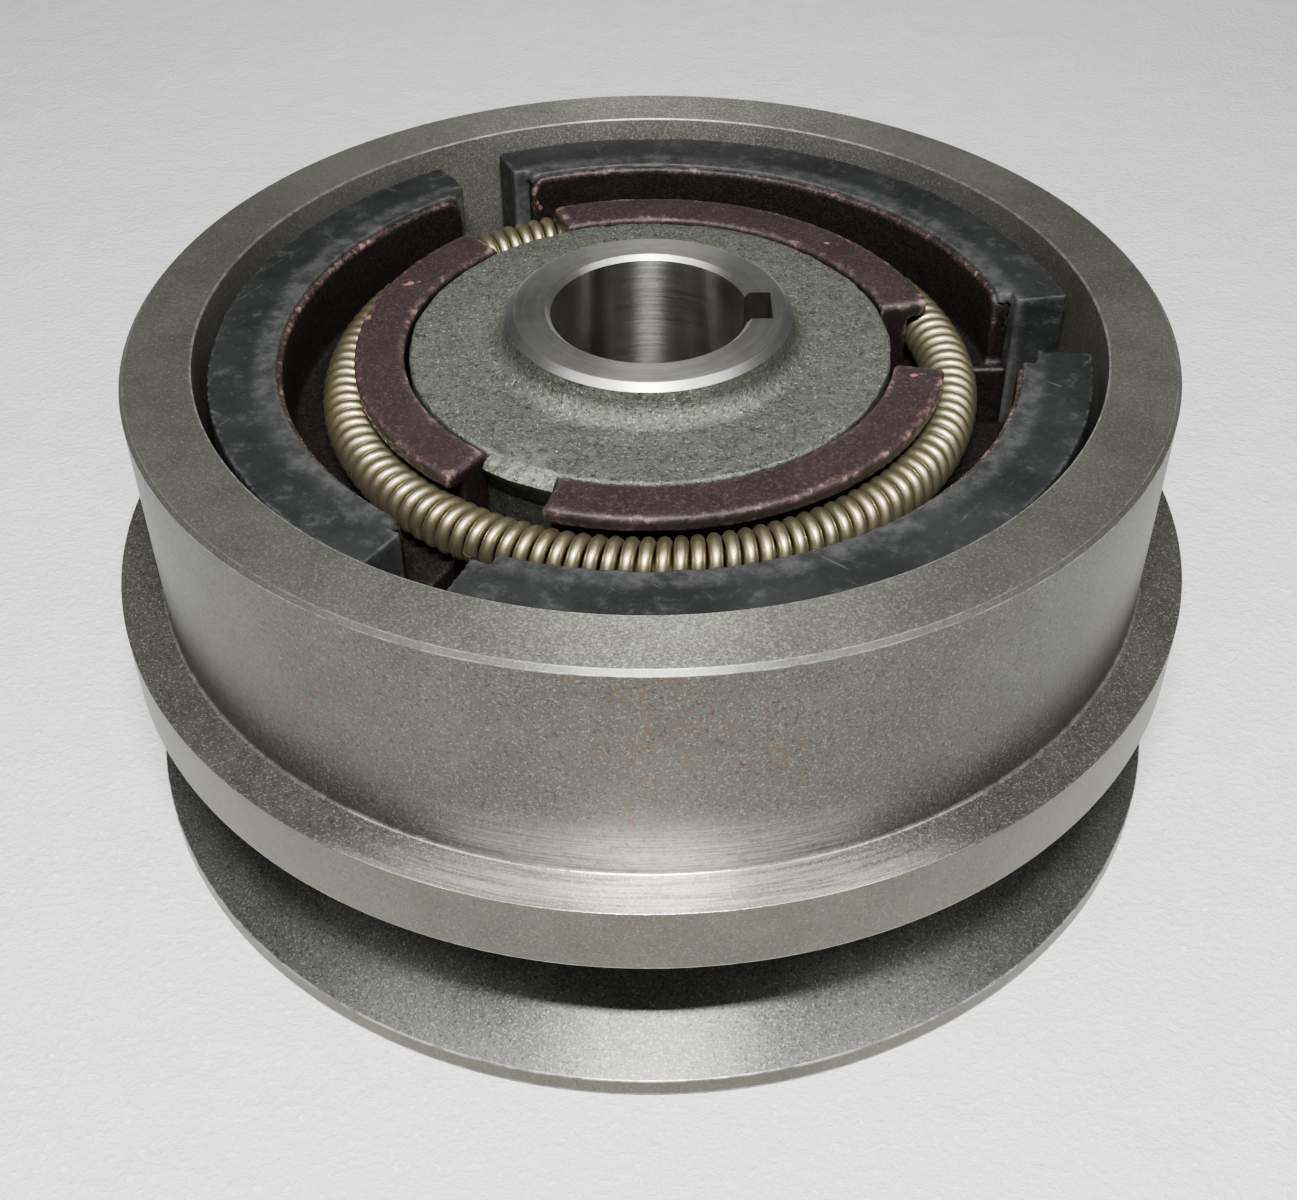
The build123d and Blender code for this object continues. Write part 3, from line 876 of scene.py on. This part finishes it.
class CLUTCH_OT_drum(bpy.types.Operator):
    """Drum and pulley casting, turned all over"""

    bl_idname = "clutch.drum"
    bl_label = "Drum and pulley"

    def execute(self, context):
        grey, warm, cold = (0.97, 1, 0.95), (1.04, 1, 0.9), (0.97, 1, 1.08)
        finishes = [
            turned_iron("pulley_under", rust=0.35, rings=0.02, grain=0.3, brush=0.7),
            turned_iron("flange_edge", shade=0.55, rust=0.5, rings=0.003, grain=0.5, brush=0.3, tint=warm),
            turned_iron("groove_flank", shade=0.76, rust=0.3, grain=0.8, rough=0.36, brush=0.7, tint=cold),
            turned_iron(
                "flange_top", shade=0.88, rust=0.1, rings=0.012, grain=0.8, rough=0.2, brush=0.97, painted_highlight=1.0
            ),
            turned_iron("drum_side", shade=0.52, rust=0.9, rings=0.002, grain=0.8, brush=0.6, painted_highlight=0.7),
            turned_iron("rim_top", shade=0.9, rust=0.12, rings=0.004, grain=0.3, brush=0.8, tint=grey),
            turned_iron("drum_inside", shade=0.95, rust=0.3, grain=0.3, brush=0.6),
        ]
        dense = soften(drum_corners(context.scene.clutch_drum))
        drum = lathe("drum_and_pulley", dense, finishes)
        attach(drum, "pulley")
        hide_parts("drum_pulley")
        return {"FINISHED"}


def hub_corners(s):
    """Outline of the hub, anticlockwise."""
    cast, bore, face = range(3)
    return [
        corner(s.sleeve_r, s.bottom_z, face, 0.4),
        *clip_groove("external_circlip", s.sleeve_r, s.sleeve_r - CLIP_SINK, face),
        corner(s.sleeve_r, s.shoulder_z, cast),
        corner(s.neck_r, s.shoulder_z, cast),
        corner(s.neck_r, s.guide_bottom, cast),
        corner(s.guide_r, s.guide_bottom, cast, 0.3),
        corner(s.guide_r, s.guide_top, cast, 0.3),
        corner(s.disc_r, s.guide_top, cast),
        corner(s.disc_r, s.disc_z, cast, 0.35),
        corner(s.boss_root_r, s.disc_z, cast, s.boss_fillet / MM),
        corner(s.boss_r, s.top_z - s.boss_chamfer, face, 0.12),
        corner(s.boss_r - s.boss_chamfer, s.top_z, face, 0.2),
        corner(s.bore_r + s.bore_chamfer, s.top_z, face, 0.1),
        corner(s.bore_r, s.top_z - s.bore_chamfer, bore, 0.1),
        corner(s.bore_r, s.bottom_z + s.bore_chamfer, face),
        corner(s.bore_r + s.bore_chamfer, s.bottom_z, face),
    ]


class CLUTCH_OT_hub(bpy.types.Operator):
    """Keyed hub with its cast disc, boss and driving arms"""

    bl_idname = "clutch.hub"
    bl_label = "Hub"

    def execute(self, context):
        s = context.scene.clutch_hub
        finishes = [
            cast_hub(),
            bright_turned("hub_bore", rings=0.002, shade=0.8, rough=0.2, brush=0.97),
            bright_turned("hub_face", rings=0.006, shade=0.7, rough=0.38, brush=0.45),
            # The keyway's near-black steel is painted shade in its narrow notch.
            ground_steel("keyway", (0.035, 0.034, 0.032), rough=0.55),
        ]
        dense = subdivide(soften(hub_corners(s), steps=8), CAST_STEP, (0,))
        hub = lathe("keyed_hub", dense, finishes, segments=400)
        key = s.key_width / 2
        cut(hub, block("key", (0, -key, -s.top_z), (s.key_reach, key, 2 * s.top_z), like=hub, finish=3))
        # The arms start inside the neck and the guide flange, so that they join both.
        lo = (s.sleeve_r + 1 * MM, -s.arm_half, s.guide_bottom + 0.2 * MM)
        for turn in GAP_ANGLES:
            cut(hub, block("arm", lo, (s.arm_tip, s.arm_half, s.arm_top), turn), "UNION")
        cut(hub, self.gate(s), "UNION")
        self.sand_grain(hub, s)
        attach(hub, "hub")
        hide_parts("hub")
        return {"FINISHED"}

    def gate(self, s):
        """Stub left where the iron was poured, broken off and rubbed down.

        It starts inside the disc and ends in a sloping break just under the disc's face.
        """
        root = s.boss_r + 3 * MM
        top = s.disc_z - 0.05 * MM
        side = [
            (root, s.gate_z),
            (s.disc_r + 0.1 * MM, s.gate_z),
            (s.gate_r, top - 1.1 * MM),
            (s.gate_r - 0.4 * MM, top - 0.5 * MM),
            (s.disc_r - 0.6 * MM, top),
            (root, top),
        ]
        half = degrees(s.gate_sweep) / 2
        middle = degrees(s.gate_turn)
        return join_shells("gate", [sweep(side, radial(middle - half, middle + half), step=1)])

    def sand_grain(self, hub, s):
        """Sand grain on the cast disc, none on what is turned.

        It fades in away from the boss and the guide flange, and out up the fillet.
        """
        x, y, z = read_vertices(hub).T
        outside = ramp(np.hypot(x, y), s.boss_root_r, s.boss_root_r + 1.5 * MM)
        above = ramp(z, s.guide_top + 4 * MM, s.guide_top + 8 * MM)
        below = ramp(z, s.disc_z + s.boss_fillet, s.disc_z + s.boss_fillet - 1 * MM)
        mask = hub.vertex_groups.new(name="cast")
        for index, weight in enumerate(outside * above * below):
            if weight > 0.01:
                mask.add([index], float(weight), "REPLACE")
        roughen(hub, ((3.0, 0.22), (1.0, 0.16)), mask.name)
        hub.vertex_groups.clear()
        hub.data.set_sharp_from_angle(angle=radians(40))
        centre_texture(hub)


def beside_arms(s, lining_ends):
    """Span of a shoe's body: its ends are flat and run along the driving arms beside them."""
    def span(r):
        start, end = lining_ends
        arm_before = round(start / PITCH) * PITCH
        arm_after = round(end / PITCH) * PITCH
        gap_before = s.outer_r * sin(radians(start - arm_before))
        gap_after = s.outer_r * sin(radians(arm_after - end))
        return (
            arm_before + degrees(asin(gap_before / r)),
            arm_after - degrees(asin(gap_after / r)),
        )
    return span


def core_shells(s, lining_ends, rib_ends):
    """Body, inner rib and outer wall of one cast shoe, as closed shells."""
    back = degrees(s.setback)
    inside = s.floor_z - 1.5 * MM
    body = bar(s.inner_r, s.outer_r, s.bottom_z, s.floor_z)
    rib = [
        (s.inner_r, inside),
        (s.stem_r, inside),
        (s.stem_r, s.lip_z - 0.3 * MM),
        (s.lip_r, s.lip_z),
        (s.lip_r, s.rib_z),
        (s.inner_r, s.rib_z),
    ]
    wall = bar(s.wall_r, s.outer_r, inside, s.wall_z - 0.2 * MM)
    wall_span = radial(lining_ends[0] + back, lining_ends[1] - back)
    return [
        sweep(body, beside_arms(s, lining_ends)),
        sweep(rib, radial(*rib_ends), rounded_end(s.lip_r, 0.5 * MM), step=0.4),
        sweep(wall, wall_span, rounded_end(s.outer_r, 2 * MM), step=0.4),
    ]


class CLUTCH_OT_shoes(bpy.types.Operator):
    """Three painted cast shoes"""

    bl_idname = "clutch.shoes"
    bl_label = "Shoes"

    def execute(self, context):
        paint = shoe_paint()
        for number, lining_ends, rib_ends in zip(SHOES, LINING_ENDS, RIB_ENDS):
            shells = core_shells(context.scene.clutch_shoes, lining_ends, rib_ends)
            grains = ((2.6, 0.08), (0.7, 0.07))
            shoe = cast_piece(f"cast_shoe_{number}", shells, paint, 3, grains)
            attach(shoe, f"shoe_{number}")
            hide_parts(f"shoe_core_{number}")
        return {"FINISHED"}


class CLUTCH_OT_linings(bpy.types.Operator):
    """Three friction linings"""

    bl_idname = "clutch.linings"
    bl_label = "Linings"

    def execute(self, context):
        s = context.scene.clutch_shoes
        finish = lining_finish()
        band = bar(s.outer_r, s.lining_r, s.bottom_z, s.lining_z)
        flap = bar(s.wall_r + 0.45 * MM, s.outer_r + 1 * MM, s.lining_z - 1.2 * MM, s.lining_z)
        back = degrees(s.setback)
        for number, (start, end) in zip(SHOES, LINING_ENDS):
            shells = [
                sweep(band, radial(start, end)),
                sweep(flap, radial(start + back, end - back), rounded_end(s.outer_r, 1 * MM), step=0.4),
            ]
            grains = ((5, 0.05), (0.8, 0.04))
            lining = cast_piece(f"friction_lining_{number}", shells, finish, 1, grains)
            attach(lining, f"shoe_{number}")
            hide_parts(f"lining_{number}")
        return {"FINISHED"}


def coil_tree(material):
    """Geometry nodes that wind wire in a helix round part of a ring."""
    tree = bpy.data.node_groups.new("garter_coils", "GeometryNodeTree")
    face = tree.interface
    face.new_socket("Geometry", in_out="OUTPUT", socket_type="NodeSocketGeometry")
    for label in ("Ring radius", "Ring height", "Coil radius", "Wire radius", "Start", "Sweep", "Turns"):
        face.new_socket(label, in_out="INPUT", socket_type="NodeSocketFloat")
    face.new_socket("Points", in_out="INPUT", socket_type="NodeSocketInt")

    def node(kind, inputs=None, **settings):
        return add_node(tree, kind, inputs, **settings).outputs

    def math(operation, a, b=0.0):
        return node("ShaderNodeMath", {0: a, 1: b}, operation=operation)[0]

    given = node("NodeGroupInput")
    line = node("GeometryNodeCurvePrimitiveLine")[0]
    points = node("GeometryNodeResampleCurve", {"Curve": line, "Count": given["Points"]})[0]
    along = node("GeometryNodeSplineParameter")["Factor"]
    around = math("ADD", given["Start"], math("MULTIPLY", along, given["Sweep"]))
    wound = math("MULTIPLY", around, given["Turns"])
    radius = math("ADD", given["Ring radius"], math("MULTIPLY", given["Coil radius"], math("COSINE", wound)))
    place = {
        "X": math("MULTIPLY", radius, math("COSINE", around)),
        "Y": math("MULTIPLY", radius, math("SINE", around)),
        "Z": math("ADD", given["Ring height"], math("MULTIPLY", given["Coil radius"], math("SINE", wound))),
    }
    moved = {"Geometry": points, "Position": node("ShaderNodeCombineXYZ", place)[0]}
    circle = {"Resolution": WIRE_SIDES, "Radius": given["Wire radius"]}
    wire = {
        "Curve": node("GeometryNodeSetPosition", moved)[0],
        "Profile Curve": node("GeometryNodeCurvePrimitiveCircle", circle)[0],
        "Fill Caps": True,
    }
    real = node("GeometryNodeRealizeInstances", {0: node("GeometryNodeCurveToMesh", wire)[0]})[0]
    painted = node("GeometryNodeSetMaterial", {"Geometry": real, "Material": material})[0]
    node("NodeGroupOutput", {0: painted})
    return tree


class CLUTCH_OT_spring(bpy.types.Operator):
    """Garter spring wound round the shoes, in lengths that reach from each shoe's middle to the gaps beside
    it
    """

    bl_idname = "clutch.spring"
    bl_label = "Garter spring"

    def execute(self, context):
        s = context.scene.clutch_spring
        tube_r = high("garter_spring").x - s.ring_r
        tree = coil_tree(spring_wire())
        sockets = {
            item.name: item.identifier
            for item in tree.interface.items_tree
            if item.in_out == "INPUT"
        }
        for number, middle, ribs in zip(SHOES, SHOE_MIDDLES, RIB_ENDS):
            for side, rib_end in zip((-1, 1), ribs):
                gap = middle + side * PITCH / 2
                name = f"spring_{number}_{'start' if side < 0 else 'end'}"
                piece = new_piece(name, [], [], [])
                winding = piece.modifiers.new("coils", "NODES")
                winding.node_group = tree
                values = {
                    "Ring radius": s.ring_r,
                    "Ring height": s.ring_z,
                    "Coil radius": tube_r - s.wire / 2,
                    "Wire radius": s.wire / 2,
                    "Start": radians(min(middle, gap)),
                    "Sweep": radians(PITCH / 2),
                    "Turns": float(s.turns),
                    "Points": POINTS_PER_COIL * s.turns // SPRING_LENGTHS + 1,
                }
                for label, value in values.items():
                    winding[sockets[label]] = value
                settle(piece)
                outward(piece)
                self.mark_hollow(piece, s, tube_r)
                ends = [
                    (s.ring_r * cos(radians(turn)), s.ring_r * sin(radians(turn)), s.ring_z)
                    for turn in (rib_end, gap)
                ]
                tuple(ends[0])
                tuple(ends[1])
                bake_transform(piece)
                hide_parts("garter_spring")
        return {"FINISHED"}

    def mark_hollow(self, piece, s, tube_r):
        """Attribute hollow: 0 on the outside of the coils and 1 on the inside of the tube."""
        x, y, z = read_vertices(piece).T
        depth = tube_r - np.hypot(np.hypot(x, y) - s.ring_r, z - s.ring_z)
        add_attribute(piece, "hollow", ramp(depth, 0.12 * s.wire, 0.62 * s.wire))


class CLUTCH_OT_bearings(bpy.types.Operator):
    """Finishes of the bearings, spacers, washer and circlips"""

    bl_idname = "clutch.bearings"
    bl_label = "Bearings and circlips"

    def execute(self, context):
        by_word = {
            "ring": ground_steel("bearing_ring", (0.55, 0.55, 0.54)),
            "balls": ground_steel("bearing_ball", (0.65, 0.65, 0.66), rough=0.1),
            "cage": ground_steel("bearing_cage", (0.45, 0.42, 0.36), rough=0.35),
            "seal": seal_rubber(),
            "spacer": ground_steel("spacer", (0.5, 0.5, 0.5)),
            "washer": ground_steel("washer", (0.5, 0.5, 0.5)),
            "circlip": ground_steel("circlip", (0.035, 0.035, 0.04), rough=0.4, metallic=0.7),
        }
        for name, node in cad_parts.items():
            word = name.split("_")[-1]
            if word in by_word:
                node.data.materials.clear()
                node.data.materials.append(by_word[word])
        return {"FINISHED"}


class CLUTCH_OT_stage(bpy.types.Operator):
    """Pale floor, soft light and the camera"""

    bl_idname = "clutch.stage"
    bl_label = "Stage"

    def execute(self, context):
        s = context.scene.clutch_stage
        half = s.floor_half
        corners = [(-half, -half, 0), (half, -half, 0), (half, half, 0), (-half, half, 0)]
        floor = new_piece("floor", corners, [(0, 1, 2, 3)], [floor_finish()])
        self.lights(s)
        self.room(context, s)
        self.camera(context, s)
        return {"FINISHED"}

    def lights(self, s):
        """Short tube lamp above the front, a soft lamp on each side of it and a low one behind."""
        for turn, rise, wide, deep, watts in (
            (0, s.tube_rise, s.tube_width, s.tube_depth, s.tube_power),
            (-s.side_turn, s.tube_rise, s.side_size, s.side_size, s.side_power),
            (s.side_turn, s.tube_rise, s.side_size, s.side_size, s.side_power),
            (pi, s.back_rise, s.back_width, s.back_depth, s.back_power),
        ):
            data = bpy.data.lights.new("lamp", "AREA")
            configure(data, shape="RECTANGLE", size=wide, size_y=deep, energy=watts)
            aim = Matrix.Rotation(turn, 4, "Z") @ Matrix.Rotation(pi / 2 - rise, 4, "X")
            add_object("lamp", data).matrix_world = aim @ Matrix.Translation((0, 0, s.lamp_reach))

    def room(self, context, s):
        """Even pale surroundings for the metal to reflect."""
        world = bpy.data.worlds.new("room")
        world.use_nodes = True
        shade = world.node_tree.nodes["Background"]
        shade.inputs["Color"].default_value = (*context.scene.clutch_finishes.air, 1)
        shade.inputs["Strength"].default_value = s.room
        context.scene.world = world

    def camera(self, context, s):
        """Camera in front of the clutch, looking down into the drum."""
        rim_z = context.scene.clutch_drum.rim_z
        data = configure(bpy.data.cameras.new("camera"), lens=s.lens, clip_start=NEAR)
        eye = Vector((0, -s.reach * cos(s.rise), rim_z + s.reach * sin(s.rise)))
        ahead = Vector((-sin(s.yaw) * cos(s.pitch), cos(s.yaw) * cos(s.pitch), -sin(s.pitch)))
        turn = ahead.to_track_quat("-Z", "Y").to_matrix().to_4x4()
        camera = add_object("camera", data)
        camera.matrix_world = Matrix.Translation(eye) @ turn @ Matrix.Rotation(s.roll, 4, "Z")
        context.scene.camera = camera


GROUPS = {
    "clutch_drum": DrumSizes,
    "clutch_hub": HubSizes,
    "clutch_shoes": ShoeSizes,
    "clutch_spring": SpringSizes,
    "clutch_finishes": Finishes,
    "clutch_stage": StageSizes,
}
OPERATORS = (
    CLUTCH_OT_stage,
    CLUTCH_OT_drum,
    CLUTCH_OT_hub,
    CLUTCH_OT_shoes,
    CLUTCH_OT_linings,
    CLUTCH_OT_spring,
    CLUTCH_OT_bearings,
)


class CLUTCH_PT_panel(bpy.types.Panel):
    """Lists the pieces"""

    bl_idname = "CLUTCH_PT_panel"
    bl_label = "Centrifugal clutch"
    bl_space_type = "VIEW_3D"
    bl_region_type = "UI"
    bl_category = "Clutch"

    def draw(self, context):
        for operator in OPERATORS:
            self.layout.operator(operator.bl_idname)
        for name, group in GROUPS.items():
            box = self.layout.box()
            box.label(text=group.__doc__)
            for key in group.__annotations__:
                box.prop(getattr(context.scene, name), key)


def register():
    """Register the groups, the operators and the panel."""
    for name, group in GROUPS.items():
        bpy.utils.register_class(group)
        setattr(bpy.types.Scene, name, PointerProperty(type=group))
    for operator in OPERATORS:
        bpy.utils.register_class(operator)
    bpy.utils.register_class(CLUTCH_PT_panel)


def unregister():
    """Undo register()."""
    bpy.utils.unregister_class(CLUTCH_PT_panel)
    for operator in reversed(OPERATORS):
        bpy.utils.unregister_class(operator)
    for name, group in GROUPS.items():
        delattr(bpy.types.Scene, name)
        bpy.utils.unregister_class(group)


def main():
    """Build every piece."""
    register()
    for operator in OPERATORS:
        group, name = operator.bl_idname.split(".")
        getattr(getattr(bpy.ops, group), name)()


if __name__ == "__main__":
    main()
